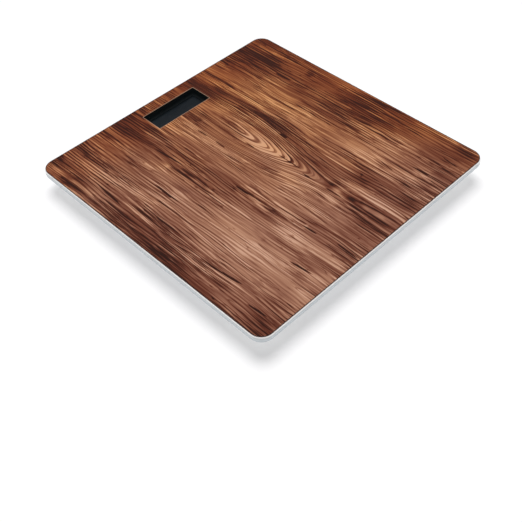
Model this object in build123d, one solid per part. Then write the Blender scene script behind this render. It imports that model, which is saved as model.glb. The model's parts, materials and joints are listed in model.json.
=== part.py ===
"""A square digital bathroom scale: a wood-faced toughened glass platform on four load-cell feet.

Frame: millimetres, origin on the floor under the platform's centre, +Z up, +Y towards the edge
with the display (away from the person standing on it), +X to that person's right.

Every separate piece is one STEP file in parts/, named after the piece.
"""

import os
from math import radians, tan

from build123d import *

# ---- Driving dimensions ------------------------------------------------------------------------
SIDE = 280.0  # the platform is square
CORNER_R = 12.0
FILM_T = 0.3  # matt wood-print film on the glass
GLASS_T = 6.0
EDGE_BEVEL = 0.7  # ground bevel round both faces of the glass
BACKING_T = 0.2  # light film under the glass
TAPE_T = 1.0  # foam tape between the glass and the housings
TOP_Z = 23.0  # overall height on the floor

WINDOW_W, WINDOW_D = 62.7, 24.4
WINDOW_MARGIN = 13.7  # from the window to the back edge
WINDOW_Y = SIDE / 2 - WINDOW_MARGIN - WINDOW_D / 2
BACKING_MARGIN = 3.5  # how much wider the light film's window is, all round

FOOT_AT = 104.0  # each foot's centre, from both centre lines
FOOT_PLAY = 0.6  # how far a foot drops on its clip when the scale is lifted

# ---- Levels, from the top down -----------------------------------------------------------------
GLASS_TOP = TOP_Z - FILM_T
GLASS_BOTTOM = GLASS_TOP - GLASS_T
BACKING_BOTTOM = GLASS_BOTTOM - BACKING_T
RIM_Z = BACKING_BOTTOM - TAPE_T  # top of every housing under the glass

# ---- Electronics housing -----------------------------------------------------------------------
BOX_W = 100.0
BOX_FRONT, BOX_BACK = 61.0, 134.5
BOX_R = 5.0
BOX_WALL = 1.8
BOX_BOTTOM = 2.4
BOX_FLOOR = 4.2  # inside face of its floor
FLANGE_W = 2.2
FLANGE_T = 1.6
BOX_MID = (BOX_FRONT + BOX_BACK) / 2
BOX_D = BOX_BACK - BOX_FRONT
PARTITION_Y = 95.4
PARTITION_T = 1.6

# ---- Display and board -------------------------------------------------------------------------
BOARD_BOTTOM, BOARD_TOP = 8.1, 9.7
BOARD_W = 94.0
BOARD_FRONT, BOARD_BACK = 97.6, 130.6
BOARD_MID = (BOARD_FRONT + BOARD_BACK) / 2
LCD_W, LCD_D = 68.0, 31.0
LCD_TOP = 15.3
POLARISER_T = 0.2
LCD_BOTTOM = 13.1
FRAME_W = 72.0
FRAME_TOP = BACKING_BOTTOM - 0.1
FRAME_BORDER = 2.5  # black border seen inside the window
EAR_T = 1.5
SCREW_X = 38.2
SCREW_YS = (99.8, 128.4)
SCREW_R = 1.0
SCREW_HEAD_R, SCREW_HEAD_T = 1.9, 1.1
SCREW_CLEARANCE = 0.1

# ---- Unit button -------------------------------------------------------------------------------
BUTTON_X, BUTTON_Y = 37.0, 113.0
BUTTON_R = 3.3
BUTTON_TRAVEL = 0.3
SWITCH_SIZE = 6.0
SWITCH_BOTTOM = 6.0
PLUNGER_R = 1.5
PLUNGER_TIP = 5.6

# ---- Batteries ---------------------------------------------------------------------------------
CELL_R, CELL_L = 5.25, 44.5  # AAA
CELL_Z = 9.9
CELL_YS = (72.4, 84.0)
BAY_HALF = 26.4
BAY_FRONT, BAY_BACK = 66.4, 90.0
BAY_WALL = 1.5
BAY_CEILING_T = 0.8
CONTACT_T = 0.4
DIMPLE_R, DIMPLE_H = 1.5, 0.4
SPRING_WIRE_R = 0.3
TAB_OUT, TAB_HALF_W = 1.2, 1.0  # a contact's solder tab beyond the bay's end wall
LEAD_R = 0.5
DOOR_HALF = 26.7
DOOR_BACK = 91.3
DOOR_TOP = 4.1
DOOR_GAP = 0.3
TONGUE = 0.9

# ---- Feet --------------------------------------------------------------------------------------
SKIRT_R = 25.0
SKIRT_WALL = 1.8
SKIRT_BOTTOM = 4.6
LIP_R, LIP_T = 21.9, 1.2
FOOT_TOP_PLATE_T = 1.8
CELL_SIDE, CELL_CORNER = 34.0, 3.0
CELL_BOTTOM, CELL_TOP = 8.8, 11.4
CAP_R = 21.4
CAP_WALL = 1.6
CAP_BOTTOM, CAP_FLOOR, CAP_RIM = 1.2, 3.4, 7.4
BEAD_R = 22.6
BEAD_BOTTOM = SKIRT_BOTTOM + LIP_T + FOOT_PLAY + 0.05
PAD_R, PAD_T = 19.0, 1.8
TAPE_DISC_R = 24.0

# ---- Sensor leads and their covers -------------------------------------------------------------
WIRE_R = 0.6
WIRE_PITCH = 1.4
WIRE_Z = 13.0
SLOT_W = 5.6
SLOT_BOTTOM, SLOT_TOP = 12.2, RIM_Z - FLANGE_T
COVER_W, COVER_WALL = 8.0, 1.0
COVER_BOTTOM, COVER_FLOOR = 11.2, 12.4
LANE_X = 42.2  # the front leads run back along this line
LANE_END_Y = 118.0
LANE_BEND_R = 14.0
BACK_LEAD_END_X = 45.9
GAUGE_END = 12.5  # the gauge's sealant ends here, from the foot's centre


# ---- Small helpers -----------------------------------------------------------------------------
def block(x0, x1, y0, y1, z0, z1):
    """A box between two opposite corners."""
    return Pos((x0 + x1) / 2, (y0 + y1) / 2, (z0 + z1) / 2) * Box(x1 - x0, y1 - y0, z1 - z0)


def disc(x, y, r, z0, z1):
    return Pos(x, y, (z0 + z1) / 2) * Cylinder(r, z1 - z0)


def plate(w, d, r, z0, z1, y=0.0):
    """A rounded rectangle centred on X = 0, standing from z0 to z1."""
    return extrude(Pos(0, y, z0) * RectangleRounded(w, d, r), z1 - z0)


def turned(points):
    """A solid of revolution about Z from (radius, height) points."""
    return revolve(make_face(Plane.XZ * Polyline(*points, close=True)), Axis.Z)


def both_sides(shape):
    """A shape and its mirror image across X = 0."""
    return shape + mirror(shape, Plane.YZ)


def tube(points, radii, r=WIRE_R):
    """A round wire along straight runs joined by tangent arcs."""
    path = FilletPolyline(*points, radius=radii) if radii else Line(*points)
    section = Plane(origin=path @ 0, z_dir=path % 0) * Circle(r)
    return sweep(section, path=path)


# ---- Platform ----------------------------------------------------------------------------------
def glass_platform():
    slab = plate(SIDE, SIDE, CORNER_R, GLASS_BOTTOM, GLASS_TOP)
    faces = slab.faces().sort_by(Axis.Z)
    return chamfer(faces[0].edges() + faces[-1].edges(), EDGE_BEVEL)


def film(z0, z1, window_w, window_d):
    """A film as large as the flat part of the glass, with the display window cut out."""
    side = SIDE - 2 * EDGE_BEVEL
    sheet = plate(side, side, CORNER_R - EDGE_BEVEL, z0, z1)
    return sheet - plate(window_w, window_d, 0.5, z0 - 1, z1 + 1, WINDOW_Y)


# ---- Electronics housing -----------------------------------------------------------------------
def housing_tape():
    """A ring of foam tape on the housing's rim and flange."""
    width = BOX_WALL + FLANGE_W
    outer_w, outer_d = BOX_W + 2 * FLANGE_W, BOX_D + 2 * FLANGE_W
    ring = plate(outer_w, outer_d, BOX_R + FLANGE_W, RIM_Z, BACKING_BOTTOM, BOX_MID)
    hole = plate(outer_w - 2 * width, outer_d - 2 * width, BOX_R - BOX_WALL, RIM_Z - 1, TOP_Z, BOX_MID)
    return ring - hole


def housing_shell():
    """The tub with its glue flange, before anything is cut in it or added."""
    body = plate(BOX_W, BOX_D, BOX_R, BOX_BOTTOM, RIM_Z, BOX_MID)
    body = fillet(body.faces().sort_by(Axis.Z)[0].edges(), 1.4)
    flange = plate(
        BOX_W + 2 * FLANGE_W, BOX_D + 2 * FLANGE_W, BOX_R + FLANGE_W, RIM_Z - FLANGE_T, RIM_Z, BOX_MID
    )
    inside = plate(
        BOX_W - 2 * BOX_WALL, BOX_D - 2 * BOX_WALL, BOX_R - BOX_WALL, BOX_FLOOR, TOP_Z, BOX_MID
    )
    return body + flange - inside


def battery_bay():
    """The walls and ceiling round the cells, standing just clear of the door."""
    bottom = BOX_FLOOR + 0.1
    outer = block(
        -BAY_HALF - BAY_WALL,
        BAY_HALF + BAY_WALL,
        BAY_FRONT - BAY_WALL,
        BAY_BACK + BAY_WALL,
        bottom,
        RIM_Z + BAY_CEILING_T,
    )
    bay = outer - block(-BAY_HALF, BAY_HALF, BAY_FRONT, BAY_BACK, bottom - 1, RIM_Z)
    side_foot = block(
        DOOR_HALF + DOOR_GAP,
        BAY_HALF + BAY_WALL,
        BAY_FRONT - BAY_WALL,
        BAY_BACK + BAY_WALL,
        BOX_FLOOR,
        bottom,
    )
    back_foot = block(
        -DOOR_HALF, DOOR_HALF, DOOR_BACK + DOOR_GAP, BAY_BACK + BAY_WALL + 0.4, BOX_FLOOR - 0.2, bottom + 1
    )
    divider_y = sum(CELL_YS) / 2
    divider = block(-10, 10, divider_y - 0.4, divider_y + 0.4, 12.0, RIM_Z)
    bay = bay + both_sides(side_foot) + back_foot + divider
    for y in CELL_YS:
        bay -= solder_tab(y, BAY_WALL, 0.1)
    return bay


def electronics_housing():
    shell = housing_shell()
    opening = block(
        -DOOR_HALF - DOOR_GAP, DOOR_HALF + DOOR_GAP, BOX_FRONT - 1, DOOR_BACK + DOOR_GAP, 0, BOX_FLOOR
    )
    groove = block(DOOR_HALF, DOOR_HALF + DOOR_GAP + TONGUE, BOX_FRONT - 1, BAY_BACK + 0.8, 2.9, 3.8)
    shell = shell - opening - both_sides(groove)
    shell += block(
        -BOX_W / 2 + BOX_WALL,
        BOX_W / 2 - BOX_WALL,
        PARTITION_Y - PARTITION_T / 2,
        PARTITION_Y + PARTITION_T / 2,
        BOX_FLOOR,
        RIM_Z,
    )
    shell += battery_bay()
    for x in (-SCREW_X, SCREW_X):
        for y in SCREW_YS:
            shell += disc(x, y, 2.4, BOX_FLOOR, BOARD_BOTTOM)
            shell -= disc(x, y, SCREW_R + 0.02, BOX_FLOOR, BOARD_BOTTOM + 1)
    # The button's hole, in a shallow finger dish.
    dish = Pos(BUTTON_X, BUTTON_Y, BOX_BOTTOM) * Cone(7.0, 5.0, 1.2)
    shell -= dish
    shell -= disc(BUTTON_X, BUTTON_Y, BUTTON_R + 0.25, 0, BOX_FLOOR + 1)
    # Vent slots under the thermistor.
    for i in range(5):
        shell -= plate(10, 1.2, 0.59, 0, BOX_FLOOR + 0.01).moved(Pos(-BUTTON_X, BUTTON_Y - 4.8 + 2.4 * i, 0))
    # Slots for the sensor leads: side walls, front wall and partition.
    side = block(
        BOX_W / 2 - 3, BOX_W / 2 + 1, FOOT_AT - SLOT_W / 2, FOOT_AT + SLOT_W / 2, SLOT_BOTTOM, SLOT_TOP
    )
    front = block(
        LANE_X - SLOT_W / 2, LANE_X + SLOT_W / 2, BOX_FRONT - 1, BOX_FRONT + 3, SLOT_BOTTOM, SLOT_TOP
    )
    middle = block(
        LANE_X - SLOT_W / 2, LANE_X + SLOT_W / 2, PARTITION_Y - 2, PARTITION_Y + 2, SLOT_BOTTOM, TOP_Z
    )
    lead_gap = block(30.8, 35.8, PARTITION_Y - 2, PARTITION_Y + 2, 12.0, TOP_Z)
    return shell - both_sides(side) - both_sides(front) - both_sides(middle) - lead_gap


def battery_door():
    """A flat cover that slides out towards the front, on a tongue along each side."""
    door = block(-DOOR_HALF, DOOR_HALF, BOX_FRONT, DOOR_BACK, BOX_BOTTOM, DOOR_TOP)
    front_edge = door.edges().filter_by(Axis.X).group_by(Axis.Y)[0].sort_by(Axis.Z)[0]
    door = chamfer(front_edge, 0.8)
    tongue = block(DOOR_HALF, DOOR_HALF + TONGUE, BAY_FRONT, BAY_BACK, 3.1, 3.6)
    door += both_sides(tongue)
    for i in range(6):
        ridge = Pos(0, BOX_FRONT + 7 + 2.2 * i, BOX_BOTTOM) * Rotation(0, 90, 0) * Cylinder(0.5, 22)
        door += ridge - block(-30, 30, 0, 200, BOX_BOTTOM + 0.5, 20)
    arrow = make_face(Polyline((-5, 0), (5, 0), (0, -5), close=True))
    door -= extrude(Pos(0, DOOR_BACK - 6, BOX_BOTTOM) * arrow, 0.3)
    return door


# ---- Display stack and board -------------------------------------------------------------------
def display_frame():
    """A black frame that holds the display on the board and shows as its border."""
    depth = BOARD_BACK - BOARD_FRONT
    frame = plate(FRAME_W, depth, 1.0, BOARD_TOP, FRAME_TOP, BOARD_MID)
    frame -= block(
        -LCD_W / 2 - 0.2,
        LCD_W / 2 + 0.2,
        WINDOW_Y - LCD_D / 2 - 0.2,
        WINDOW_Y + LCD_D / 2 + 0.2,
        BOARD_TOP - 1,
        LCD_TOP,
    )
    frame -= plate(
        WINDOW_W - 2 * FRAME_BORDER, WINDOW_D - 2 * FRAME_BORDER, 0.4, LCD_TOP - 1, TOP_Z, WINDOW_Y
    )
    for y in SCREW_YS:
        ear = block(FRAME_W / 2 - 0.5, SCREW_X + 2.2, y - 2.2, y + 2.2, BOARD_TOP, BOARD_TOP + EAR_T)
        ear -= disc(SCREW_X, y, SCREW_R + SCREW_CLEARANCE, 0, TOP_Z)
        frame += both_sides(ear)
    return frame


def lcd_layer(z0, z1, inset=0.0):
    """One sheet of the display, centred under the window."""
    return block(
        -LCD_W / 2 + inset,
        LCD_W / 2 - inset,
        WINDOW_Y - LCD_D / 2 + inset,
        WINDOW_Y + LCD_D / 2 - inset,
        z0,
        z1,
    )


def backlight_panel():
    """A light guide in a tray, behind the connector strip."""
    front = WINDOW_Y - LCD_D / 2 + 3.0
    back = WINDOW_Y + LCD_D / 2
    panel = block(-LCD_W / 2, LCD_W / 2, front, back, BOARD_TOP, LCD_BOTTOM)
    step = block(-LCD_W / 2 + 1, LCD_W / 2 - 1, front + 1, back - 1, LCD_BOTTOM - 0.3, LCD_BOTTOM)
    return panel - step


def connector_strip():
    """The conductive rubber strip that joins the display to the board."""
    y = WINDOW_Y - LCD_D / 2 + 1.5
    return block(-30, 30, y - 0.9, y + 0.9, BOARD_TOP, LCD_BOTTOM)


def circuit_board():
    board = plate(BOARD_W, BOARD_BACK - BOARD_FRONT, 1.0, BOARD_BOTTOM, BOARD_TOP, BOARD_MID)
    for x in (-SCREW_X, SCREW_X):
        for y in SCREW_YS:
            board -= disc(x, y, SCREW_R + SCREW_CLEARANCE, 0, TOP_Z)
    return board


def board_screws():
    """Four pan-head screws, each with a cross recess."""
    seat = BOARD_TOP + EAR_T
    screw = Cylinder(SCREW_R, 6.0, align=(Align.CENTER, Align.CENTER, Align.MAX))
    head = Cylinder(SCREW_HEAD_R, SCREW_HEAD_T, align=(Align.CENTER, Align.CENTER, Align.MIN))
    head = fillet(head.edges().sort_by(Axis.Z)[-1], 0.5)
    cross = Pos(0, 0, SCREW_HEAD_T) * (Box(2.2, 0.4, 1.0) + Box(0.4, 2.2, 1.0))
    screw = screw + head - cross
    return [Pos(x, y, seat) * screw for x in (-SCREW_X, SCREW_X) for y in SCREW_YS]


def controller_chip():
    """A square packaged chip with its rows of legs, on the underside of the board."""
    x, y, half = -6.0, BOARD_MID, 5.0
    chip = block(x - half, x + half, y - half, y + half, BOARD_BOTTOM - 1.6, BOARD_BOTTOM - 0.2)
    chip = chamfer(chip.faces().sort_by(Axis.Z)[0].edges(), 0.3)
    for i in range(10):
        along = -3.6 + 0.8 * i
        chip += block(
            x + along - 0.15, x + along + 0.15, y - half - 1, y + half + 1, BOARD_BOTTOM - 0.5, BOARD_BOTTOM
        )
        chip += block(
            x - half - 1, x + half + 1, y + along - 0.15, y + along + 0.15, BOARD_BOTTOM - 0.5, BOARD_BOTTOM
        )
    return chip


def board_components():
    """Small parts on the underside of the board: chip capacitors, a crystal and two coils."""
    parts = []
    for i in range(6):
        y = BOARD_FRONT + 6 + 4.0 * i
        parts.append(block(6.0, 8.0, y - 0.6, y + 0.6, BOARD_BOTTOM - 0.8, BOARD_BOTTOM))
        parts.append(block(-22.0, -20.0, y - 0.6, y + 0.6, BOARD_BOTTOM - 0.8, BOARD_BOTTOM))
    crystal = plate(10, 4, 1.9, BOARD_BOTTOM - 3.0, BOARD_BOTTOM, BOARD_FRONT + 5)
    parts.append(Pos(-6, 0, 0) * crystal)
    for y in (BOARD_MID - 5, BOARD_MID + 5):
        parts.append(disc(16.0, y, 2.6, BOARD_BOTTOM - 3.2, BOARD_BOTTOM))
    return parts


def thermistor():
    """A bead on two legs, hanging over the vent slots."""
    bead = Pos(-BUTTON_X, BUTTON_Y, 5.6) * Sphere(1.1)
    for dy in (-0.55, 0.55):
        bead += disc(-BUTTON_X, BUTTON_Y + dy, 0.2, 5.6, BOARD_BOTTOM)
    return bead


def tact_switch():
    half = SWITCH_SIZE / 2
    body = block(
        BUTTON_X - half, BUTTON_X + half, BUTTON_Y - half, BUTTON_Y + half, SWITCH_BOTTOM, BOARD_BOTTOM
    )
    body = chamfer(body.edges().filter_by(Axis.Z), 0.5)
    return body - disc(BUTTON_X, BUTTON_Y, PLUNGER_R + 0.1, 0, SWITCH_BOTTOM + 1.2)


def switch_plunger():
    return disc(BUTTON_X, BUTTON_Y, PLUNGER_R, PLUNGER_TIP, SWITCH_BOTTOM + 0.6)


def unit_button():
    cap = disc(BUTTON_X, BUTTON_Y, BUTTON_R, 2.8, 4.4)
    cap = fillet(cap.edges().sort_by(Axis.Z)[0], 0.4)
    flange = disc(BUTTON_X, BUTTON_Y, BUTTON_R + 1.0, 4.3, 5.1)
    return cap + flange + disc(BUTTON_X, BUTTON_Y, PLUNGER_R, 5.1, PLUNGER_TIP)


# ---- Batteries and their contacts --------------------------------------------------------------
def battery(index):
    """An AAA cell. Cell 0 has its positive end towards +X, cell 1 towards -X."""
    nub = 0.8
    side = 1 if index == 0 else -1
    tip = BAY_HALF - CONTACT_T - DIMPLE_H
    profile = [(0, 0), (CELL_R - 0.5, 0), (CELL_R, 0.5), (CELL_R, CELL_L - nub - 0.5)]
    profile += [(CELL_R - 0.5, CELL_L - nub), (1.9, CELL_L - nub), (1.9, CELL_L), (0, CELL_L)]
    cell = turned(profile)
    return Pos(side * (tip - CELL_L), CELL_YS[index], CELL_Z) * Rotation(0, 90 * side, 0) * cell


def contact_plate(x, y, toward):
    """A thin upright plate against the bay's end wall; toward is +1 or -1, the way it faces."""
    x0, x1 = sorted((x, x + toward * CONTACT_T))
    return block(x0, x1, y - 4.6, y + 4.6, 5.4, 14.6)


def solder_tab(y, length, gap=0.0):
    """The tab that carries a contact through the bay's +X end wall, or the slot it needs."""
    half_w, half_t = TAB_HALF_W + gap, CONTACT_T / 2 + gap
    return block(BAY_HALF, BAY_HALF + length, y - half_w, y + half_w, WIRE_Z - half_t, WIRE_Z + half_t)


def dimple(x, y, toward):
    """The raised spot that meets a cell's positive end."""
    start = x + toward * CONTACT_T
    return Pos(start + toward * DIMPLE_H / 2, y, CELL_Z) * Rotation(0, 90, 0) * Cylinder(DIMPLE_R, DIMPLE_H)


def coil(x, y, toward):
    """A contact spring from the plate to the flat end of the cell, with a closed ring at each end."""
    length = 2 * BAY_HALF - CONTACT_T * 2 - DIMPLE_H - CELL_L
    turns, mean_r = 4, 2.8
    height = length - 2 * SPRING_WIRE_R
    path = Helix(pitch=height / turns, height=height, radius=mean_r)
    wire = sweep(
        Plane(origin=path @ 0, z_dir=path % 0) * Circle(SPRING_WIRE_R), path=path, is_frenet=True
    )
    start = x + toward * (CONTACT_T + SPRING_WIRE_R)
    return Pos(start, y, CELL_Z) * Rotation(0, 90 * toward, 0) * wire


def contact_link():
    """Joins the two cells at the -X end: a spring for cell 0 and a dimple for cell 1."""
    x = -BAY_HALF
    bridge = block(x, x + CONTACT_T, CELL_YS[0] + 4, CELL_YS[1] - 4, 5.4, 9.0)
    plates = contact_plate(x, CELL_YS[0], 1) + contact_plate(x, CELL_YS[1], 1) + bridge
    return [plates + dimple(x, CELL_YS[1], 1), coil(x, CELL_YS[0], 1)]


def end_contact(y):
    """A contact at the +X end, with the tab its lead is soldered to."""
    return contact_plate(BAY_HALF, y, -1) + solder_tab(y, BAY_WALL + TAB_OUT)


def contact_plus():
    return end_contact(CELL_YS[0]) + dimple(BAY_HALF, CELL_YS[0], -1)


def contact_minus():
    return [end_contact(CELL_YS[1]), coil(BAY_HALF, CELL_YS[1], -1)]


def battery_leads():
    """Two wires from the solder tabs, through the partition, to pads under the board."""
    leads = []
    start_x = BAY_HALF + BAY_WALL + TAB_OUT
    drop_y = BOARD_FRONT - LEAD_R - 0.2
    pad_z = BOARD_BOTTOM - LEAD_R
    for y, x in ((CELL_YS[0], 34.6), (CELL_YS[1], 31.9)):
        points = [(start_x, y, WIRE_Z), (x, y, WIRE_Z), (x, drop_y, WIRE_Z), (x, drop_y, pad_z)]
        points.append((x, drop_y + 3.5, pad_z))
        leads.append(tube(points, [2.0, 1.0, 1.0], LEAD_R))
    return leads


# ---- Feet, each drawn about its own centre, with its leads leaving along +X ----------------------
def foot_housing():
    inner_r = SKIRT_R - SKIRT_WALL
    plate_bottom = RIM_Z - FOOT_TOP_PLATE_T
    shell = turned(
        [
            (0, plate_bottom),
            (inner_r, plate_bottom),
            (inner_r, SKIRT_BOTTOM + LIP_T),
            (LIP_R, SKIRT_BOTTOM + LIP_T),
            (LIP_R, SKIRT_BOTTOM),
            (SKIRT_R - 0.8, SKIRT_BOTTOM),
            (SKIRT_R, SKIRT_BOTTOM + 0.8),
            (SKIRT_R, RIM_Z),
            (0, RIM_Z),
        ]
    )
    # A square wall bears on the load cell's rim.
    cell_half = CELL_SIDE / 2
    outer, inner = cell_half - 0.5, cell_half - 3.5
    seat = block(-outer, outer, -outer, outer, CELL_TOP, plate_bottom)
    shell += seat - block(-inner, inner, -inner, inner, CELL_TOP - 1, plate_bottom)
    # Four clips hold the load cell by the middle of each side.
    hook_top = CELL_BOTTOM - 0.05
    hook_bottom = hook_top - 0.6
    post = block(cell_half + 0.2, cell_half + 1.4, -2, 2, hook_bottom, plate_bottom)
    post += block(cell_half - 0.6, cell_half + 0.2, -2, 2, hook_bottom, hook_top)
    for quarter in range(4):
        if quarter == 0:  # the leads leave here, so this clip is split in two
            shell += Pos(0, 9, 0) * post + Pos(0, -9, 0) * post
        else:
            shell += Rotation(0, 0, 90 * quarter) * post
    return shell - block(13.0, SKIRT_R + 1, -SLOT_W / 2, SLOT_W / 2, SLOT_BOTTOM, plate_bottom)


def foot_tape():
    return disc(0, 0, TAPE_DISC_R, RIM_Z, BACKING_BOTTOM)


def load_cell():
    """A stamped steel plate whose middle tongue bends while its rim is held."""
    body = plate(CELL_SIDE, CELL_SIDE, CELL_CORNER, CELL_BOTTOM, CELL_TOP)
    window_w, tongue_w = 20.0, 16.0
    window = block(-12, 10, -window_w / 2, window_w / 2, 0, TOP_Z)
    tongue = block(-10, 11, -tongue_w / 2, tongue_w / 2, 0, TOP_Z)
    return body - (window - tongue)


def strain_gauge():
    """The gauge on the tongue's neck, under its block of sealant."""
    sealant = block(6.0, GAUGE_END, -3.4, 3.4, CELL_TOP, WIRE_Z + WIRE_R)
    return fillet(sealant.edges().filter_by(Axis.Z), 0.8)


def foot_cap():
    """The moving cup: a rim with a bead behind the housing's lip, ribs, and a boss that pushes the cell."""
    cap = turned(
        [
            (0, CAP_BOTTOM + 0.6),
            (PAD_R + 0.2, CAP_BOTTOM + 0.6),
            (PAD_R + 0.2, CAP_BOTTOM),
            (CAP_R - 0.8, CAP_BOTTOM),
            (CAP_R, CAP_BOTTOM + 0.8),
            (CAP_R, BEAD_BOTTOM),
            (BEAD_R, BEAD_BOTTOM),
            (BEAD_R, CAP_RIM - 0.4),
            (BEAD_R - 0.6, CAP_RIM),
            (CAP_R - CAP_WALL, CAP_RIM),
            (CAP_R - CAP_WALL, CAP_FLOOR),
            (5.0, CAP_FLOOR),
            (5.0, CELL_BOTTOM - 0.6),
            (3.0, CELL_BOTTOM),
            (0, CELL_BOTTOM),
        ]
    )
    for i in range(8):
        rib = block(4.5, CAP_R - CAP_WALL + 0.4, -0.6, 0.6, CAP_FLOOR, 6.0)
        cap += Rotation(0, 0, 45 * i) * rib
    return cap


def rubber_pad():
    """A soft disc with a raised outer ring and rings of grooves under it."""
    groove = 0.5
    profile = [(0, groove), (4.0, groove)]
    for r in (4.0, 9.0, 14.0):
        profile += [(r + 0.6, 0), (r + 3.6, 0), (r + 4.2, groove), (r + 5.0, groove)]
    profile = profile[:-2]
    profile += [(PAD_R - 0.7, 0), (PAD_R, 0.7), (PAD_R, PAD_T), (0, PAD_T)]
    return turned(profile)


# ---- Leads and covers, in the scale's own frame ------------------------------------------------
def lead_route(back, offset, start, end):
    """The plan of a right-hand lead, offset sideways from the bundle's middle.

    start is the distance from the foot's centre, and end the Y (front) or X (back) where it stops.
    """
    if back:
        y = FOOT_AT + offset
        return [(FOOT_AT - start, y), (end, y)]
    diagonal = start / 2**0.5
    shift = offset / 2**0.5
    bend = FOOT_AT - LANE_X
    bend_shift = offset * tan(radians(22.5))
    return [
        (FOOT_AT - diagonal + shift, -FOOT_AT + diagonal + shift),
        (LANE_X + offset, -FOOT_AT + bend + bend_shift),
        (LANE_X + offset, end),
    ]


def sensor_leads(back):
    """Three insulated wires from the gauge to pads on the board."""
    wires = []
    for i in (-1, 0, 1):
        offset = i * WIRE_PITCH
        end = BACK_LEAD_END_X if back else LANE_END_Y
        plan = lead_route(back, offset, GAUGE_END, end)
        points = [(x, y, WIRE_Z) for x, y in plan]
        points.append((*plan[-1], BOARD_TOP))
        radii = [2.0] if back else [LANE_BEND_R + offset, 2.0]
        wires.append(tube(points, radii))
    return wires


def cable_cover(back):
    """A channel stuck under the glass over the leads, open towards the glass."""
    start = SKIRT_R + 0.2
    end = BOX_W / 2 + 0.2 if back else BOX_FRONT - 0.2
    route = lead_route(back, 0.0, start, end)
    line = Line(*route) if back else FilletPolyline(*route, radius=LANE_BEND_R)
    strips = []
    for width, z0, z1 in (
        (COVER_W, COVER_BOTTOM, BACKING_BOTTOM),
        (COVER_W - 2 * COVER_WALL, COVER_FLOOR, TOP_Z),
    ):
        face = trace(line, width)
        strips.append(extrude(Pos(0, 0, z0) * face, z1 - z0))
    cover = strips[0] - strips[1]
    # The housing's flange and the foot's skirt stand in the way of the ends.
    flange = plate(
        BOX_W + 2 * FLANGE_W + 0.4,
        BOX_D + 2 * FLANGE_W + 0.4,
        BOX_R + FLANGE_W,
        SLOT_TOP - 0.2,
        TOP_Z,
        BOX_MID,
    )
    skirt_y = FOOT_AT if back else -FOOT_AT
    inside = plate(BOX_W + 0.4, BOX_D + 0.4, BOX_R, 0, TOP_Z, BOX_MID)
    return cover - flange - inside - disc(FOOT_AT, skirt_y, SKIRT_R + 0.2, 0, TOP_Z)


# ---- Write every piece -------------------------------------------------------------------------
def write(name, shape):
    solids = shape if isinstance(shape, list) else shape.solids()
    whole = Compound(children=[s for item in solids for s in item.solids()])
    export_step(whole, f"parts/{name}.step")


def write_platform():
    write("glass_platform", glass_platform())
    write("wood_film", film(GLASS_TOP, TOP_Z, WINDOW_W, WINDOW_D))
    opening = (WINDOW_W + 2 * BACKING_MARGIN, WINDOW_D + 2 * BACKING_MARGIN)
    write("backing_film", film(BACKING_BOTTOM, GLASS_BOTTOM, *opening))


def write_electronics():
    write("housing_tape", housing_tape())
    write("electronics_housing", electronics_housing())
    write("battery_door", battery_door())
    write("display_frame", display_frame())
    write("lcd_polariser", lcd_layer(LCD_TOP - POLARISER_T, LCD_TOP, 0.5))
    write("lcd_panel", lcd_layer(LCD_BOTTOM, LCD_TOP - POLARISER_T))
    write("backlight_panel", backlight_panel())
    write("connector_strip", connector_strip())
    write("circuit_board", circuit_board())
    write("board_screws", board_screws())
    write("controller_chip", controller_chip())
    write("board_components", board_components())
    write("thermistor", thermistor())
    write("tact_switch", tact_switch())
    write("switch_plunger", switch_plunger())
    write("unit_button", unit_button())
    write("battery_1", battery(0))
    write("battery_2", battery(1))
    write("battery_contact_link", contact_link())
    write("battery_contact_plus", contact_plus())
    write("battery_contact_minus", contact_minus())
    write("battery_leads", battery_leads())


def write_feet():
    makers = {
        "foot_housing": foot_housing,
        "foot_tape": foot_tape,
        "load_cell": load_cell,
        "strain_gauge": strain_gauge,
        "foot_cap": foot_cap,
        "rubber_pad": rubber_pad,
    }
    # Corner name: X side, Y side, and the heading of its leads in degrees.
    corners = {
        "back_right": (1, 1, 180),
        "back_left": (-1, 1, 0),
        "front_right": (1, -1, 135),
        "front_left": (-1, -1, 45),
    }
    for piece, make in makers.items():
        shape = make()
        for corner, (sx, sy, heading) in corners.items():
            place = Pos(sx * FOOT_AT, sy * FOOT_AT, 0) * Rotation(0, 0, heading)
            write(f"{piece}_{corner}", place * shape)
    for back, row in ((True, "back"), (False, "front")):
        leads = sensor_leads(back)
        cover = cable_cover(back)
        write(f"sensor_leads_{row}_right", leads)
        write(f"sensor_leads_{row}_left", [mirror(wire, Plane.YZ) for wire in leads])
        write(f"cable_cover_{row}_right", cover)
        write(f"cable_cover_{row}_left", mirror(cover, Plane.YZ))


os.makedirs("parts", exist_ok=True)
write_platform()
write_electronics()
write_feet()
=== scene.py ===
"""Looks of the bathroom scale: its materials, the glass slab, the light and the camera.

Everything is in the part's own frame: the floor is z = 0, +Y is the display edge and -Y the edge
nearest the person who stands on it. Geometry is in metres, and patterns are drawn in millimetres.
"""

import json
from math import cos, pi, radians, sin

import bmesh
import bpy
from mathutils import Matrix, Vector


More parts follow.
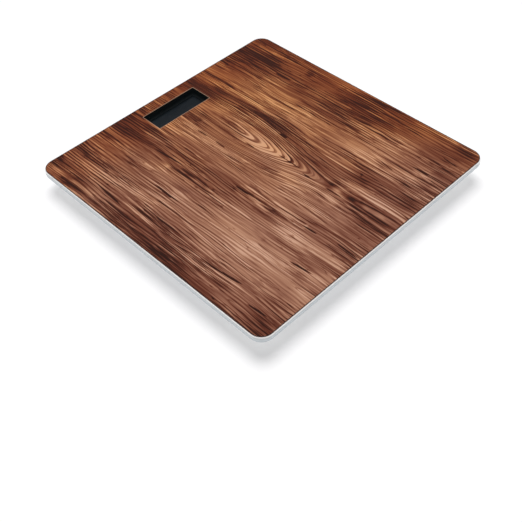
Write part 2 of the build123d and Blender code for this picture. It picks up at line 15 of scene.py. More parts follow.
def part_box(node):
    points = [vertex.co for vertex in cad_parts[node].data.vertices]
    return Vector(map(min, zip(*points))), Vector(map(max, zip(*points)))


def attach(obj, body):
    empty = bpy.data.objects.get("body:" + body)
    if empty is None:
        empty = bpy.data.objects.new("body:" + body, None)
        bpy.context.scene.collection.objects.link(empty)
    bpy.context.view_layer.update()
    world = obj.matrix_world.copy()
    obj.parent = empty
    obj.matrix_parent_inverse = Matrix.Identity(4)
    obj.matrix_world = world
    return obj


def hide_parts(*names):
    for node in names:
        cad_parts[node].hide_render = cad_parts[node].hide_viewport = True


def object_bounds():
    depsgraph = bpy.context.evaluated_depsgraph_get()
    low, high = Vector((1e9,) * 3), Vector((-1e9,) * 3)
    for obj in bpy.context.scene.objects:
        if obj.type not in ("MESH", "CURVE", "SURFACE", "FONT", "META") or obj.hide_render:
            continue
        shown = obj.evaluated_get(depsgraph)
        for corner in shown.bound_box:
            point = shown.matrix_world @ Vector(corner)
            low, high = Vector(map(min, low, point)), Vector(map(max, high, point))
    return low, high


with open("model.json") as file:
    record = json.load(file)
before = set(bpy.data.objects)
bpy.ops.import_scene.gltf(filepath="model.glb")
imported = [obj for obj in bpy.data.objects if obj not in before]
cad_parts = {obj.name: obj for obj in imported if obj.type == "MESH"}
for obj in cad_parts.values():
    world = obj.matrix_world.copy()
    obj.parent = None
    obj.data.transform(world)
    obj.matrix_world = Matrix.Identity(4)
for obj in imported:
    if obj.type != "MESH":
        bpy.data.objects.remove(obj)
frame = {"nodes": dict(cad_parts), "record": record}

CAD_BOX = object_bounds()
NODES = frame["nodes"]
MM = 0.001
SIDE = CAD_BOX[1][0] - CAD_BOX[0][0]
TOP = CAD_BOX[1][2]

GLASS_CORNER_R = 12.0 * MM
GLASS_BEVEL = 0.7 * MM
HALF_SIDE = SIDE / 2 / MM  # in mm, as the patterns are
FILM_CORNER_R = (GLASS_CORNER_R - GLASS_BEVEL) / MM  # in mm


def srgb(red, green, blue):
    """A colour given as 0 to 255 on a screen, as the linear colour a shader takes."""
    linear = []
    for value in (red, green, blue):
        value /= 255
        linear.append(value / 12.92 if value <= 0.04045 else ((value + 0.055) / 1.055) ** 2.4)
    return (*linear, 1.0)


def film_window():
    """The window cut out of the print, centred in x: half width, half depth and middle y, in mm."""
    rim = 0.95 * SIDE / 2  # all vertices of the film's outer outline are outside this
    corners = [vertex.co for vertex in NODES["wood_film"].data.vertices]
    inner = [place for place in corners if max(abs(place.x), abs(place.y)) < rim]
    right = max(place.x for place in inner)
    front = min(place.y for place in inner)
    back = max(place.y for place in inner)
    return right / MM, (back - front) / 2 / MM, (back + front) / 2 / MM


WINDOW_HALF_X, WINDOW_HALF_Y, WINDOW_Y = film_window()
WINDOW_CORNER_R = 0.5  # in mm


# ---- Node graphs -----------------------------------------------------------------------------------
class Tree:
    """Adds nodes to a node tree. Values are sockets or plain numbers."""

    def __init__(self, tree):
        self.tree = tree

    def node(self, kind):
        return self.tree.nodes.new(kind)

    def put(self, socket, value):
        if isinstance(value, bpy.types.NodeSocket):
            self.tree.links.new(value, socket)
        else:
            socket.default_value = value

    def math(self, operation, *values, clamp=False):
        node = self.node("ShaderNodeMath")
        node.operation = operation
        node.use_clamp = clamp
        for socket, value in zip(node.inputs, values):
            self.put(socket, value)
        return node.outputs[0]

    def add(self, *values):
        total = values[0]
        for value in values[1:]:
            total = self.math("ADD", total, value)
        return total

    def less(self, a, b):
        return self.math("SUBTRACT", a, b)

    def times(self, *values):
        total = values[0]
        for value in values[1:]:
            total = self.math("MULTIPLY", total, value)
        return total

    def times_add(self, a, b, extra):
        return self.math("MULTIPLY_ADD", a, b, extra)

    def over(self, a, b):
        return self.math("DIVIDE", a, b)

    def length(self, a, b):
        return self.math("SQRT", self.times_add(a, a, self.times(b, b)))

    def fade(self, value, low, high, to_low=0.0, to_high=1.0):
        """Goes smoothly from to_low, where value is low, to to_high, where it is high."""
        node = self.node("ShaderNodeMapRange")
        node.interpolation_type = "SMOOTHSTEP"
        names = ("Value", "From Min", "From Max", "To Min", "To Max")
        for name, number in zip(names, (value, low, high, to_low, to_high)):
            self.put(node.inputs[name], number)
        return node.outputs[0]

    def point(self, x, y, z=0.0):
        node = self.node("ShaderNodeCombineXYZ")
        for socket, value in zip(node.inputs, (x, y, z)):
            self.put(socket, value)
        return node.outputs[0]

    def grey(self, value):
        return self.point(value, value, value)

    def noise(self, place, scale=1.0, detail=2.0, roughness=0.5):
        """Noise about zero, mostly within plus and minus a quarter."""
        node = self.node("ShaderNodeTexNoise")
        self.put(node.inputs["Vector"], place)
        self.put(node.inputs["Scale"], scale)
        self.put(node.inputs["Detail"], detail)
        self.put(node.inputs["Roughness"], roughness)
        return self.less(node.outputs[0], 0.5)

    def grain(self, x, y, width, length, seed, detail=2.0):
        """Noise drawn out along Y: cells about width by length, in the unit of x and y."""
        return self.noise(self.point(self.over(x, width), self.over(y, length), seed), detail=detail)

    def mix(self, factor, a, b, blend="MIX"):
        node = self.node("ShaderNodeMix")
        node.data_type = "RGBA"
        node.blend_type = blend
        self.put(node.inputs["Factor"], factor)
        self.put(node.inputs[6], a)
        self.put(node.inputs[7], b)
        return node.outputs[2]

    def tinted(self, colour, tint):
        return self.mix(1.0, colour, tint, "MULTIPLY")

    def ramp(self, value, stops):
        node = self.node("ShaderNodeValToRGB")
        ramp = node.color_ramp
        while len(ramp.elements) < len(stops):
            ramp.elements.new(0.5)
        for element, (position, colour) in zip(ramp.elements, stops):
            element.position = position
            element.color = colour
        self.put(node.inputs[0], value)
        return node.outputs[0]

    def bump(self, height, distance, strength):
        node = self.node("ShaderNodeBump")
        self.put(node.inputs["Strength"], strength)
        self.put(node.inputs["Distance"], distance)
        self.put(node.inputs["Height"], height)
        return node.outputs[0]


class Surface(Tree):
    """A material with one Principled shader, and the place on the surface in the part's frame."""

    def __init__(self, name, roughness=0.5, **settings):
        self.material = bpy.data.materials.new(name)
        self.material.use_nodes = True
        super().__init__(self.material.node_tree)
        self.tree.nodes.clear()
        self.shader = self.node("ShaderNodeBsdfPrincipled")
        output = self.node("ShaderNodeOutputMaterial")
        self.tree.links.new(self.shader.outputs[0], output.inputs["Surface"])
        self.place = self.node("ShaderNodeTexCoord").outputs["Object"]
        self.set("Roughness", roughness)
        for key, value in settings.items():
            self.set(key.replace("_", " ").title().replace("Ior", "IOR"), value)

    def set(self, name, value):
        self.put(self.shader.inputs[name], value)

    def millimetres(self):
        """X, Y and Z of the place on the surface, in millimetres."""
        node = self.node("ShaderNodeSeparateXYZ")
        self.put(node.inputs[0], self.place)
        return [self.over(socket, MM) for socket in node.outputs]

    def cloud(self):
        """Broad uneven noise, the same in all directions."""
        return self.noise(self.place, 90.0, detail=4, roughness=0.6)

    def uneven(self, colour, noise, amount):
        """The colour, made a little lighter and darker by the noise."""
        return self.tinted(colour, self.grey(self.times_add(noise, amount, 1.0)))

    def outside(self, x, y, half_x, half_y, radius, middle_y=0.0):
        """Distance outside a rounded rectangle, negative inside it, in millimetres."""
        out_x = self.less(self.math("ABSOLUTE", x), half_x - radius)
        out_y = self.less(self.math("ABSOLUTE", self.less(y, middle_y)), half_y - radius)
        beyond = self.length(self.math("MAXIMUM", out_x, 0.0), self.math("MAXIMUM", out_y, 0.0))
        within = self.math("MINIMUM", self.math("MAXIMUM", out_x, out_y), 0.0)
        return self.less(self.add(beyond, within), radius)

    def outside_window(self, x, y):
        """Distance outside the display window, negative inside it, in millimetres."""
        return self.outside(x, y, WINDOW_HALF_X, WINDOW_HALF_Y, WINDOW_CORNER_R, WINDOW_Y)


# ---- Wood print: its drawing -----------------------------------------------------------------------
# Places and sizes are in mm from the platform's middle. A tone is a place on the palette, 0 to 1.
# The tables of streaks, splits and lines were placed one by one.
WOOD_PALETTE = (
    (0.00, srgb(44, 15, 5)),
    (0.15, srgb(83, 37, 21)),
    (0.33, srgb(110, 63, 45)),
    (0.48, srgb(129, 84, 65)),
    (0.62, srgb(149, 103, 80)),
    (0.79, srgb(172, 128, 101)),
    (1.00, srgb(201, 160, 134)),
)
PLAIN_TONE = 0.445

# The tints that multiply the palette: towards the front left, towards the back right, and on top
# of that along the back and right edges.
COOL_TINT = (1.0, 0.96, 0.97, 1.0)
WARM_TINT = (1.13, 0.91, 0.55, 1.0)
NO_TINT = (1.0, 1.0, 1.0, 1.0)
RED_TINT = (1.08, 0.96, 0.8, 1.0)
FILM_EDGE_COLOUR = srgb(58, 38, 32)
WINDOW_EDGE_COLOUR = srgb(160, 128, 106)

# The heart line runs along the grain, and the growth lines arch over it between FRONT and BACK.
HEART_X = 18.0
HEART_DEPTH = 5.0
ARCH_RISE = 22.0
ARCH_REACH = 46.0
ARCH_FRONT, ARCH_BACK = -64.0, 44.0
LINE_PITCH = 2.9
LINE_DEPTH = 0.42

# Fibres: width and length of their cells, detail, and depth on the tone.
FIBRES = (
    (0.7, 40, 2.0, 1.0),
    (1.4, 60, 2.0, 1.3),
    (3.4, 80, 3.0, 0.65),
    (9.0, 90, 3.0, 0.55),
    (1.2, 16, 2.0, 0.8),
)
CLOUD_DEPTH = 0.45
# Threads, crisper than the fibres: width and length, the noise level where they start, and depth.
THREADS = (
    (0.9, 80, 0.1, -0.34),
    (1.1, 60, 0.11, 0.22),
)
VEIN_DEPTH = 0.3
FIBRE_RELIEF = 0.05 * MM
# The print is darker towards the back edge.
BACK_DARK_FROM = 85.0
BACK_DARK_DEPTH = 0.14

# Soft streaks, from the left edge to the right: middle x and y, half width and half length, and by
# how many hundredths of the palette they are lighter or darker than the plain wood.
STREAKS = (
    (-139, -70, 16, 120, -20), (-132, -95, 22, 26, 12), (-131, -130, 15, 30, -28),
    (-131, -45, 13, 30, -22), (-131, 97, 15, 24, -26), (-130, 5, 34, 115, -19),
    (-130, 118, 22, 40, -12), (-128, -68, 12, 24, -14), (-126, 62, 20, 30, 6), (-92, 112, 20, 50, 12),
    (-84, -65, 38, 110, 28), (-78, -130, 32, 15, 20), (-77, -66, 14, 45, 8), (-77, 45, 18, 55, 22),
    (-70, 62, 12, 34, 10), (-68, -98, 12, 26, 13), (-62, -136, 22, 22, 12), (-60, -40, 18, 42, 12),
    (-50, 122, 17, 70, -35), (-48, -92, 16, 60, 24), (-46, 35, 24, 75, -12), (-43, -118, 12, 24, 12),
    (-42, -56, 13, 30, -18), (-38, -46, 12, 22, -13), (-35, -25, 12, 45, -24), (-35, 112, 8, 40, -12),
    (-31, -83, 2, 3, 25), (-22, -45, 26, 60, 17), (-18, 50, 20, 130, 12), (-14, 72, 12, 24, 12),
    (0, -100, 28, 16, 9), (4, -120, 12, 26, -12), (5, 92, 13, 34, -22), (8, -62, 26, 62, 22),
    (10, -36, 20, 24, 10), (10, 10, 16, 48, 20), (12, 30, 12, 80, 6), (13, -106, 17, 36, -26),
    (14, 84, 9, 20, -14), (17, 22, 13, 48, 16), (19, -64, 12, 9, -34), (20, -2, 12, 40, 12),
    (22, 60, 14, 70, 22), (31, -100, 5, 45, 14), (36, -22, 10, 40, -12), (36, 118, 17, 48, -40),
    (42, 100, 11, 18, -16), (43, -76, 14, 24, -24), (43, 76, 12, 26, -14), (44, 34, 8, 120, -14),
    (46, -130, 14, 24, -26), (49, -102, 16, 45, -16), (50, 55, 16, 80, -11), (52, -70, 12, 24, -8),
    (52, 106, 12, 40, -12), (63, 125, 12, 45, 8), (68, -48, 13, 40, 13), (68, 8, 14, 34, 10),
    (70, -68, 13, 26, 12), (70, -68, 24, 60, 26), (70, 35, 22, 90, 14), (80, 122, 14, 34, -8),
    (86, -64, 12, 32, 13), (92, -132, 18, 16, -16), (98, 12, 24, 46, -17), (98, 42, 14, 26, -14),
    (102, -70, 18, 40, 16), (105, 110, 18, 80, -38), (112, 44, 22, 20, -12), (120, -32, 24, 58, -38),
    (122, -112, 20, 40, -12), (125, 56, 6, 8, -34), (132, -130, 17, 24, -26), (134, 30, 22, 150, -14),
    (134, 130, 20, 30, -8),
)
# Where the growth lines stand out: middle x and y, half width and half length, and how much.
LINED = (
    (-112, 95, 26, 75, 90), (-96, -45, 24, 62, 60), (-80, 20, 16, 50, 50), (-42, 105, 14, 60, 90),
    (-12, 20, 18, 60, 40), (22, -10, 24, 75, 110), (38, 70, 12, 70, 60), (110, 115, 20, 60, 80),
    (128, -90, 18, 55, 60),
)
# Short dark splits along the grain: middle x and y, half width and half length, and how far x
# drifts per mm of y.
SPLITS = (
    (-124, 108, 0.5, 16, 0), (-121, -116, 0.8, 12, -0.08), (-119, 66, 0.8, 22, 0.06),
    (-115, -50, 0.8, 38, -0.1), (-112, -78, 0.9, 14, -0.1), (-85, 30, 0.6, 8, 0),
    (-67, -111, 0.8, 14, -0.08), (-52, 66, 0.9, 20, -0.09), (-37, -14, 0.6, 10, 0),
    (-32, -88, 0.7, 9, 0), (-29, -126, 0.6, 14, 0.03), (-9, 44, 0.7, 8, 0.03), (-9, 68, 0.8, 8, 0),
    (9, 24, 0.8, 7, 0.05), (14, -42, 0.6, 7, 0), (14, -73, 0.9, 12, 0), (17, -17, 0.6, 18, 0),
    (39, 10, 0.8, 6, 0.05), (71, -84, 0.6, 10, 0.12), (80, 28, 0.6, 10, 0.05),
    (86, -110, 0.7, 11, -0.05), (101, -128, 0.7, 10, 0.06), (103, 73, 0.8, 12, -0.04),
    (112, -122, 0.6, 9, 0.1), (123, -74, 0.5, 12, 0.05),
)
SPLIT_DEPTH = 0.7
# Thin pale lines along the grain, given as the splits are.
PALE_LINES = (
    (-97, -20, 0.7, 26, 0.06), (-56, -30, 0.6, 22, 0), (28.5, -98, 0.9, 48, -0.01),
    (32.5, -102, 0.6, 42, 0), (45, -50, 0.5, 32, 0), (82.5, -112, 0.8, 12, -0.03),
)
PALE_LINE_DEPTH = 0.4
STROKE_WIDER = 1.5  # a stroke fades out towards its rim, so it is drawn wider than it looks


# ---- Wood print: its material ----------------------------------------------------------------------
PATCH_INPUTS = ("X", "Y", "Half X", "Half Y")


def patch_group():
    """A node group: 1 at the middle of an ellipse, falling smoothly to 0 at its rim."""
    group = bpy.data.node_groups.new("patch", "ShaderNodeTree")
    for name in PATCH_INPUTS:
        group.interface.new_socket(name, in_out="INPUT", socket_type="NodeSocketFloat")
    group.interface.new_socket("Value", in_out="OUTPUT", socket_type="NodeSocketFloat")
    t = Tree(group)
    given = t.node("NodeGroupInput").outputs
    across = t.over(given["X"], given["Half X"])
    along = t.over(given["Y"], given["Half Y"])
    inside = t.math("SUBTRACT", 1.0, t.times_add(across, across, t.times(along, along)), clamp=True)
    t.put(t.node("NodeGroupOutput").inputs["Value"], t.times(inside, inside))
    return group


class WoodPrint(Surface):
    """The matt wood print on the film, with its grain along Y."""

    def __init__(self):
        super().__init__("wood_print", roughness=0.75, specular_ior_level=0.12)
        self.patch_group = patch_group()
        self.x, self.y, _ = self.millimetres()
        self.bend_grain()
        self.fibres = [self.drawn_out(width, length, width, detail) for width, length, detail, _ in FIBRES]
        wiggled_x = self.add(self.x, self.times(self.ripple, 0.5), self.times(self.fibres[1], 2.0))
        splits = self.strokes(wiggled_x, SPLITS)
        pale_lines = self.strokes(wiggled_x, PALE_LINES)

        tone = self.add(self.streaks(), self.fibre_tone(), self.vein_tone())
        tone = self.times_add(self.growth_lines(), -LINE_DEPTH, tone)
        tone = self.less(tone, self.fade(self.y, BACK_DARK_FROM, HALF_SIDE, 0.0, BACK_DARK_DEPTH))
        tone = self.times_add(self.fade(splits, 0.0, 0.4), -SPLIT_DEPTH, tone)
        tone = self.times_add(self.fade(pale_lines, 0.0, 0.6), PALE_LINE_DEPTH, tone)
        self.set("Base Color", self.with_edges(self.with_tint(self.ramp(tone, WOOD_PALETTE))))

        height = self.add(self.times(self.fibres[0], 0.6), self.times(self.fibres[1], 0.4))
        self.set("Normal", self.bump(self.times_add(splits, -0.5, height), FIBRE_RELIEF, 0.5))

    def bend_grain(self):
        """The grain wanders, so the print is drawn on bent coordinates.

        A place's ring is its distance from the heart line, bent so that lines along the grain
        close in arches over the heart.
        """
        sway = self.times(self.grain(self.x, self.y, 45, 160, 1.3), 9.0)
        self.ripple = self.times(self.grain(self.x, self.y, 13, 60, 7.7), 4.0)
        self.bent_x = self.add(self.x, sway, self.ripple)
        self.bent_y = self.add(self.y, self.times(self.grain(self.x, self.y, 20, 30, 4.1), 30.0))
        from_heart = self.length(self.less(self.bent_x, HEART_X), HEART_DEPTH)
        rise = self.fade(self.y, ARCH_FRONT, ARCH_BACK, 0.0, ARCH_RISE)
        self.ring = self.less(from_heart, self.times(rise, self.fade(from_heart, ARCH_REACH, 0.0)))
        self.side = self.over(self.x, 45.0)  # makes the two sides of the heart different
        self.broad = self.grain(self.x, self.bent_y, 26, 48, 6.4, detail=3)

    def drawn_out(self, width, length, seed, detail):
        """Noise drawn out along the rings: cells about width by length."""
        place = self.point(
            self.over(self.ring, width), self.over(self.bent_y, length), self.add(self.side, seed)
        )
        return self.noise(place, detail=detail)

    def growth_lines(self):
        """Waves across the rings, with narrow crests, which stand out more in some places."""
        wobble = self.times(self.grain(self.ring, self.y, 9, 160, 2.9, detail=3), 7.0)
        turns = self.over(self.add(self.ring, wobble), LINE_PITCH)
        wave = self.fade(self.math("COSINE", self.times(turns, 2 * pi)), -1.0, 1.0)
        wave = self.less(self.math("POWER", wave, 1.6), 0.45)
        anywhere = self.fade(self.grain(self.bent_x, self.y, 16, 60, 8.2), -0.16, 0.2, 0.2, 0.85)
        return self.times(wave, self.add(anywhere, self.patches(self.x, self.y, LINED)))

    def streaks(self):
        """The plain tone with the soft streaks, feathered by the fibres."""
        feather = self.add(
            self.times(self.ripple, 0.5),
            self.times(self.fibres[1], 9.0),
            self.times(self.fibres[2], 14.0),
        )
        bent_y = self.times_add(self.less(self.bent_y, self.y), 0.6, self.y)
        return self.add(PLAIN_TONE, self.patches(self.add(self.x, feather), bent_y, STREAKS))

    def fibre_tone(self):
        """Fibres and threads, clear in some places and faint in others."""
        clear = self.fade(self.grain(self.x, self.bent_y, 18, 70, 5.2), -0.15, 0.15, 0.35, 1.4)
        clear = self.add(clear, self.fade(self.y, -30.0, 50.0, 0.0, 0.2))
        tone = self.times(self.broad, CLOUD_DEPTH)
        for fibre, (_, _, _, depth) in zip(self.fibres, FIBRES):
            tone = self.times_add(fibre, depth, tone)
        for width, length, level, depth in THREADS:
            noise = self.drawn_out(width, length, 3 * width, 1)
            tone = self.times_add(self.fade(noise, level, level + 0.08), depth, tone)
        return self.times(tone, clear)

    def vein_tone(self):
        """Thin dark veins where a slow noise crosses zero, broken up by the third fibres."""
        place = self.point(self.over(self.ring, 7.0), self.over(self.y, 75.0), self.add(self.side, 0.4))
        vein = self.fade(self.math("ABSOLUTE", self.noise(place)), 0.018, 0.0)
        return self.times(vein, self.fade(self.fibres[2], -0.08, 0.12), -VEIN_DEPTH)

    def patch(self, x, y, half_x, half_y):
        node = self.node("ShaderNodeGroup")
        node.node_tree = self.patch_group
        for name, value in zip(PATCH_INPUTS, (x, y, half_x, half_y)):
            self.put(node.inputs[name], value)
        return node.outputs[0]

    def patches(self, x, y, rows):
        """The sum of soft ellipses, each weighted by its last number in hundredths."""
        total = 0.0
        for middle_x, middle_y, half_x, half_y, weight in rows:
            soft = self.patch(self.less(x, middle_x), self.less(y, middle_y), half_x, half_y)
            total = self.times_add(soft, weight / 100, total)
        return total

    def strokes(self, x, rows):
        """The largest of some thin lens-shaped strokes along the grain."""
        total = 0.0
        for middle_x, middle_y, half_x, half_y, drift in rows:
            along = self.less(self.y, middle_y)
            across = self.less(self.less(x, middle_x), self.times(along, drift))
            stroke = self.patch(across, along, half_x * STROKE_WIDER, half_y)
            total = self.math("MAXIMUM", total, stroke)
        return total

    def with_tint(self, colour):
        """Warmer towards the back right, and redder still along the back and right edges."""
        slope = self.add(
            self.times(self.x, 0.95), self.times(self.y, 0.8), self.times(self.broad, 180.0)
        )
        warmth = self.add(
            self.fade(slope, -130.0, 160.0),
            self.fade(self.x, 85.0, HALF_SIDE, 0.0, 0.4),
            self.fade(self.y, -130.0, -55.0, -0.28, 0.0),
        )
        colour = self.tinted(colour, self.mix(warmth, COOL_TINT, WARM_TINT))
        right = self.times(self.fade(self.x, 95.0, 135.0), self.fade(self.y, -110.0, -20.0, 0.45, 1.0))
        redness = self.math("MAXIMUM", right, self.fade(self.y, 80.0, 125.0))
        return self.tinted(colour, self.mix(redness, NO_TINT, RED_TINT))

    def with_edges(self, colour):
        """The film's dark outer edge, and the thin pale edge of the window cut out of it."""
        low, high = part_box("wood_film")
        half = (high[0] - low[0]) / 2 / MM
        outside = self.outside(self.x, self.y, half, half, FILM_CORNER_R)
        colour = self.mix(self.fade(outside, -0.8, -0.4), colour, FILM_EDGE_COLOUR)
        window = self.outside_window(self.x, self.y)
        return self.mix(self.fade(window, 0.6, 0.35), colour, WINDOW_EDGE_COLOUR)


# ---- Plain materials -------------------------------------------------------------------------------
DUST = srgb(150, 144, 134)
DUST_TOP = 9.0  # in mm
TARNISH = srgb(120, 118, 114)
WINDOW_MASK = 8.0  # width of the black print round the window, under the glass, in mm


def moulded(name, colour, roughness=0.45, texture_mm=0.35, depth_mm=0.02, mottle=0.06, dust=0.0,
            **settings):
    """Moulded plastic or rubber: fine even texture, faint uneven colour and dust low down."""
    s = Surface(name, roughness=roughness, **settings)
    fine = s.noise(s.place, 1 / (texture_mm * MM), detail=3)
    cloud = s.cloud()
    base = s.uneven(colour, s.times_add(fine, 0.4, cloud), mottle)
    if dust:
        z = s.millimetres()[2]
        dusty = s.times(s.fade(z, DUST_TOP, 0.5), s.fade(cloud, -0.12, 0.14), dust)
        base = s.mix(dusty, base, DUST)
    s.set("Base Color", base)
    s.set("Roughness", s.times_add(cloud, 0.2, roughness))
    s.set("Normal", s.bump(fine, depth_mm * MM, 0.7))
    return s.material


def metal(name, colour, roughness=0.3):
    """Plated or rolled metal with fine drawn lines along Y."""
    s = Surface(name, roughness=roughness, metallic=1.0)
    x, y, z = s.millimetres()
    lines = s.noise(s.point(s.over(x, 0.15), s.over(y, 4.0), s.over(z, 0.15)))
    blotch = s.noise(s.place, 160.0, detail=3)
    s.set("Base Color", s.mix(s.fade(blotch, -0.2, 0.25, 0.0, 0.5), colour, TARNISH))
    s.set("Roughness", s.times_add(s.add(lines, blotch), 0.3, roughness))
    s.set("Normal", s.bump(lines, 0.004 * MM, 0.6))
    return s.material


def light_film():
    """The light film under the glass, with a black print round the window, beside the display."""
    s = Surface("light_film", roughness=0.35)
    x, y, _ = s.millimetres()
    light = s.uneven(srgb(214, 218, 222), s.cloud(), 0.06)
    past_mask = s.fade(s.outside_window(x, y), WINDOW_MASK - 0.2, WINDOW_MASK)
    s.set("Base Color", s.mix(past_mask, srgb(21, 24, 27), light))
    return s.material


def clear_glass():
    """Thin clear glass: mostly see-through, with the gloss of its surface."""
    s = Surface("platform_glass", roughness=0.02, alpha=0.16, specular_ior_level=0.8, ior=1.52)
    tint = s.noise(s.place, 12.0, detail=1)
    s.set("Base Color", s.mix(s.fade(tint, -0.3, 0.3), srgb(20, 28, 30), srgb(26, 34, 36)))
    return s.material


def ground_edge():
    """The glass's ground edge: pale, a little blue, with fine lines along it and a painted highlight along
    its top.
    """
    s = Surface("platform_glass_edge", roughness=0.22, ior=1.5)
    x, y, z = s.millimetres()
    lines = s.noise(s.point(s.over(z, 0.12), s.over(s.add(x, y), 22.0)))
    cloud = s.noise(s.place, 60.0)
    low, high = (corner[2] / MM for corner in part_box("glass_platform"))
    rim = high - GLASS_BEVEL / MM
    colour = s.mix(s.fade(z, low, high), srgb(196, 203, 208), srgb(206, 209, 211))
    colour = s.mix(s.fade(cloud, -0.25, 0.3, 0.0, 0.3), colour, srgb(190, 203, 209))
    # painted highlight: the top bevel and the half mm of edge below it are painted near white
    colour = s.mix(s.fade(z, rim - 0.5, rim), colour, srgb(248, 246, 244))
    s.set("Base Color", colour)
    s.set("Roughness", s.times_add(lines, 0.25, 0.24))
    s.set("Normal", s.bump(lines, 0.01 * MM, 0.5))
    return s.material


MATERIALS = {
    "wood_print": WoodPrint().material,
    "platform_glass": clear_glass(),
    "light_film": light_film(),
    "foam_tape": moulded("foam_tape", srgb(205, 205, 200), roughness=0.9, texture_mm=0.6, depth_mm=0.12),
    "white_plastic": moulded("white_plastic", srgb(214, 215, 212), roughness=0.42, dust=0.14),
    "door_plastic": moulded("door_plastic", srgb(210, 211, 208), roughness=0.4, dust=0.12),
    "button_plastic": moulded("button_plastic", srgb(92, 96, 100), roughness=0.3, depth_mm=0.008),
    "grip_rubber": moulded("grip_rubber", srgb(52, 53, 55), roughness=0.8, texture_mm=0.5, depth_mm=0.05,
                           mottle=0.3, dust=0.12),
    "spring_steel": metal("spring_steel", srgb(196, 196, 194)),
    "sealant": moulded("sealant", srgb(228, 226, 216), roughness=0.35, texture_mm=1.5, depth_mm=0.06),
    "black_plastic": moulded("black_plastic", srgb(22, 25, 28), roughness=0.5, mottle=0.15,
                             specular_ior_level=0.2),
    "display_film": moulded("display_film", srgb(9, 19, 31), roughness=0.35, depth_mm=0.0, mottle=0.05,
                            specular_ior_level=0.25),
    "display_glass": moulded("display_glass", srgb(96, 104, 112), roughness=0.2, depth_mm=0.0),
    "light_guide": moulded("light_guide", srgb(225, 230, 235), roughness=0.4, depth_mm=0.01),
    "connector_rubber": moulded("connector_rubber", srgb(205, 120, 140), roughness=0.7),
    "board": moulded("board", srgb(22, 84, 48), roughness=0.3, mottle=0.3),
    "chip": moulded("chip", srgb(26, 26, 28), roughness=0.5, depth_mm=0.01),
    "components": moulded("components", srgb(150, 118, 84), roughness=0.4),
    "bead": moulded("bead", srgb(60, 34, 24), roughness=0.25),
    "screw_steel": metal("screw_steel", srgb(205, 205, 205), roughness=0.22),
    "contact_metal": metal("contact_metal", srgb(210, 208, 200), roughness=0.2),
    "cell_wrap": moulded("cell_wrap", srgb(40, 44, 52), roughness=0.25, depth_mm=0.004),
    "lead_insulation": moulded("lead_insulation", srgb(168, 34, 28), roughness=0.4, depth_mm=0.006),
}


def dress_nodes():
    """Gives each CAD node the material of its slot."""
    for part in frame["record"]["subparts"]:
        slots = NODES[part["node"]].data.materials
        slots.clear()
        slots.append(MATERIALS[part["material_slot"]])


# ---- Glass slab ------------------------------------------------------------------------------------
CORNER_STEPS = 24


def rounded_square(half, radius):
    """The outline of a rounded square, counter-clockwise from its +X side."""
    outline = []
    for quarter in range(4):
        turn = Matrix.Rotation(quarter * pi / 2, 2)
        centre = turn @ Vector((half - radius, half - radius))
        for step in range(CORNER_STEPS + 1):
            angle = (quarter + step / CORNER_STEPS) * pi / 2
            outline.append((centre.x + radius * cos(angle), centre.y + radius * sin(angle)))
    return outline


def glass_slab():
    """The toughened glass with its bevelled edge: clear faces, and a ground edge all round."""
    low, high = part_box("glass_platform")
    half = (high[0] - low[0]) / 2
    levels = (
        (low[2], GLASS_BEVEL),
        (low[2] + GLASS_BEVEL, 0.0),
        (high[2] - GLASS_BEVEL, 0.0),
        (high[2], GLASS_BEVEL),
    )
    mesh = bmesh.new()
    rings = []
    for z, inset in levels:
        outline = rounded_square(half - inset, GLASS_CORNER_R - inset)
        rings.append([mesh.verts.new((x, y, z)) for x, y in outline])
    mesh.faces.new(reversed(rings[0]))
    mesh.faces.new(rings[-1])
    count = len(rings[0])
    for lower, upper in zip(rings, rings[1:]):
        for i in range(count):
            j = (i + 1) % count
            face = mesh.faces.new((lower[i], lower[j], upper[j], upper[i]))
            face.material_index = 1
            face.smooth = True
    for edge in mesh.edges:
        if edge.is_manifold and edge.calc_face_angle(0.0) > radians(20):
            edge.smooth = False
    data = bpy.data.meshes.new("glass_slab")
    mesh.to_mesh(data)
    mesh.free()
    slab = bpy.data.objects.new("glass_slab", data)
    bpy.context.scene.collection.objects.link(slab)
    data.materials.append(MATERIALS["platform_glass"])
    data.materials.append(ground_edge())
    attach(slab, "scale")
    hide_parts("glass_platform")


# ---- Light, floor and camera -----------------------------------------------------------------------
FLOOR_SIZE = 12.0
FLOOR_GLOW = 0.39
KEY_DIRECTION = (-0.22, -0.26, -0.94)
KEY_SPREAD = 40  # degrees
KEY_STRENGTH = 2.75

# The camera's place, and what it looks at, in platform sides from the middle of the top face.
CAMERA_PLACE = (-1.370, -1.4493, 1.7613)
CAMERA_AIM = (-0.2981, -0.2964, 0.0)
CAMERA_ROLL = -2.80
CAMERA_LENS = 57.62


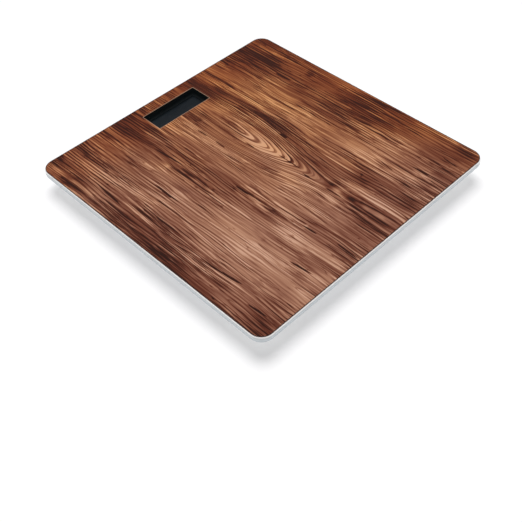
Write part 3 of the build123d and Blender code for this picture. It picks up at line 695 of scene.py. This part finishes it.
def add_floor():
    """A plain white floor, lit a little from below like a light table."""
    bpy.ops.mesh.primitive_plane_add(size=FLOOR_SIZE, location=(0, 0, 0))
    floor = bpy.context.object
    floor.name = "floor"
    s = Surface("studio_floor", roughness=0.9, specular_ior_level=0.0, emission_strength=FLOOR_GLOW)
    s.set("Emission Color", (1.0, 1.0, 1.0, 1.0))
    tone = s.fade(s.noise(s.place, 2.0), -0.3, 0.3)
    s.set("Base Color", s.mix(tone, srgb(203, 202, 203), srgb(204, 203, 204)))
    floor.data.materials.append(s.material)


def add_studio():
    """A world that is white low down and dim overhead, where only the lamp shines."""
    world = bpy.data.worlds.new("studio")
    world.use_nodes = True
    w = Tree(world.node_tree)
    direction = w.node("ShaderNodeSeparateXYZ")
    w.put(direction.inputs[0], w.node("ShaderNodeTexCoord").outputs["Generated"])
    shade = w.fade(direction.outputs["Z"], 0.3, 0.6, 1.0, 0.05)
    w.put(world.node_tree.nodes["Background"].inputs["Color"], w.grey(shade))
    bpy.context.scene.world = world
    bpy.context.scene.view_settings.view_transform = "Standard"


def add_lamp():
    """One very wide soft lamp, far away and nearly overhead, a little to the back right."""
    data = bpy.data.lights.new("key", "SUN")
    data.angle = radians(KEY_SPREAD)
    data.energy = KEY_STRENGTH
    lamp = bpy.data.objects.new("key", data)
    lamp.rotation_euler = Vector(KEY_DIRECTION).to_track_quat("-Z", "Y").to_euler()
    bpy.context.scene.collection.objects.link(lamp)


def add_camera():
    """Looks down over the front left corner, turned a little about its own line of sight."""
    middle = Vector((0, 0, TOP))
    place = middle + SIDE * Vector(CAMERA_PLACE)
    aim = middle + SIDE * Vector(CAMERA_AIM)
    data = bpy.data.cameras.new("camera")
    data.lens = CAMERA_LENS
    data.sensor_width = 36.0
    camera = bpy.data.objects.new("camera", data)
    look = (aim - place).to_track_quat("-Z", "Y").to_matrix()
    turn = look @ Matrix.Rotation(radians(CAMERA_ROLL), 3, "Z")
    camera.matrix_world = Matrix.Translation(place) @ turn.to_4x4()
    bpy.context.scene.collection.objects.link(camera)
    bpy.context.scene.camera = camera


add_camera()
add_floor()
add_studio()
add_lamp()
dress_nodes()
glass_slab()
